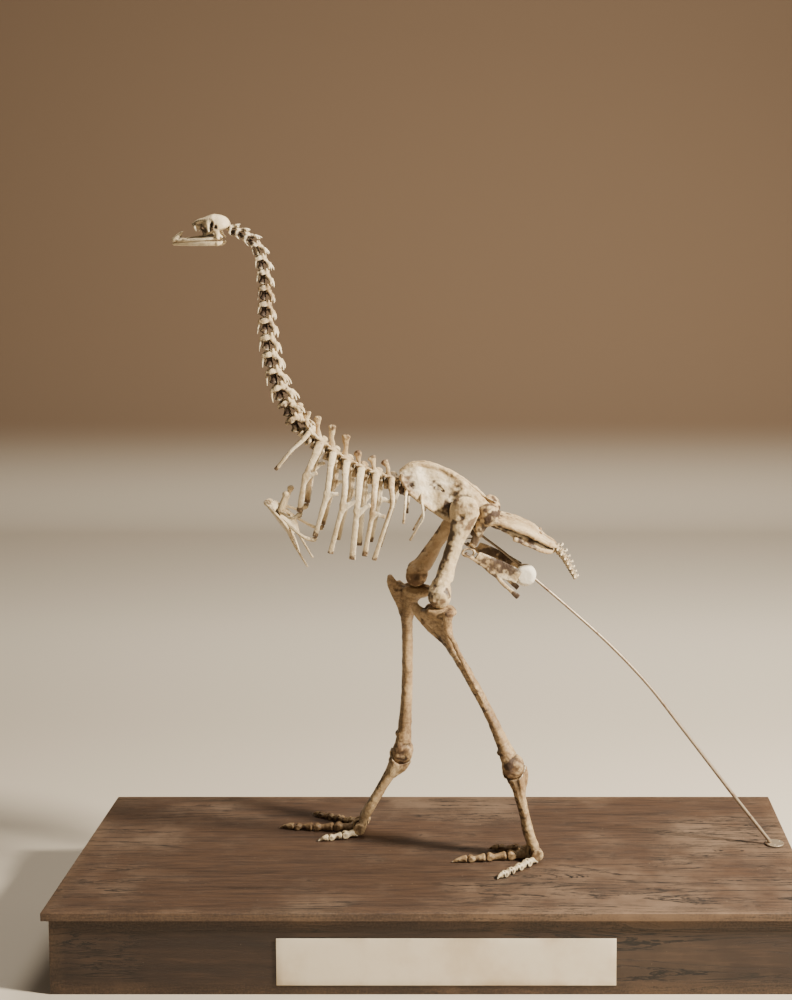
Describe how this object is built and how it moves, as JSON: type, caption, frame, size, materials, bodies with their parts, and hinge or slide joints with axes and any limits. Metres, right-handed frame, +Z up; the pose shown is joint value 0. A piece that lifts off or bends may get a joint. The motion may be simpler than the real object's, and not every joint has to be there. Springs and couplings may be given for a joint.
{
  "type": "mounted moa skeleton",
  "caption": "Life-size mounted skeleton of a small bush moa in mid step, head held high, on a low wooden plinth with a bare label card and a bowed iron support rod.",
  "frame": {"origin": "middle of the plinth's underside", "axes": "+X towards the bird's tail, +Y towards its right side, +Z up. The bird faces -X and the label is on the -Y side"},
  "size_m": [1.474, 0.615, 1.4805],
  "materials": {
    "bone": "dry aged bone, ivory with brown stains",
    "dark_bone": "dry bone stained dark brown",
    "plinth_wood": "worn dark stain",
    "label_card": "plain cream card",
    "rod_iron": "drawn iron, dull",
    "boss": "chalky off-white"
  },
  "bodies": {
    "root": {"skull": "bone", "mandible": "bone", "neck_upper": "bone", "neck_middle": "bone", "neck_lower": "bone", "thorax_left": "bone", "thorax_right": "bone", "sternum": "bone", "pelvis": "bone", "tail": "bone", "femur_left": "bone", "tibiotarsus_left": "bone", "fibula_left": "bone", "tarsometatarsus_left": "bone", "toe_inner_left": "bone", "toe_middle_left": "bone", "toe_outer_left": "bone", "femur_right": "dark_bone", "tibiotarsus_right": "bone", "fibula_right": "bone", "tarsometatarsus_right": "bone", "toe_inner_right": "bone", "toe_middle_right": "bone", "toe_outer_right": "bone", "stand_top": "plinth_wood", "stand_front": "plinth_wood", "stand_back": "plinth_wood", "stand_left": "plinth_wood", "stand_right": "plinth_wood", "stand_label": "label_card", "stand_rod": "rod_iron", "stand_knob": "boss", "stand_flange": "rod_iron"}
  },
  "joints": []
}
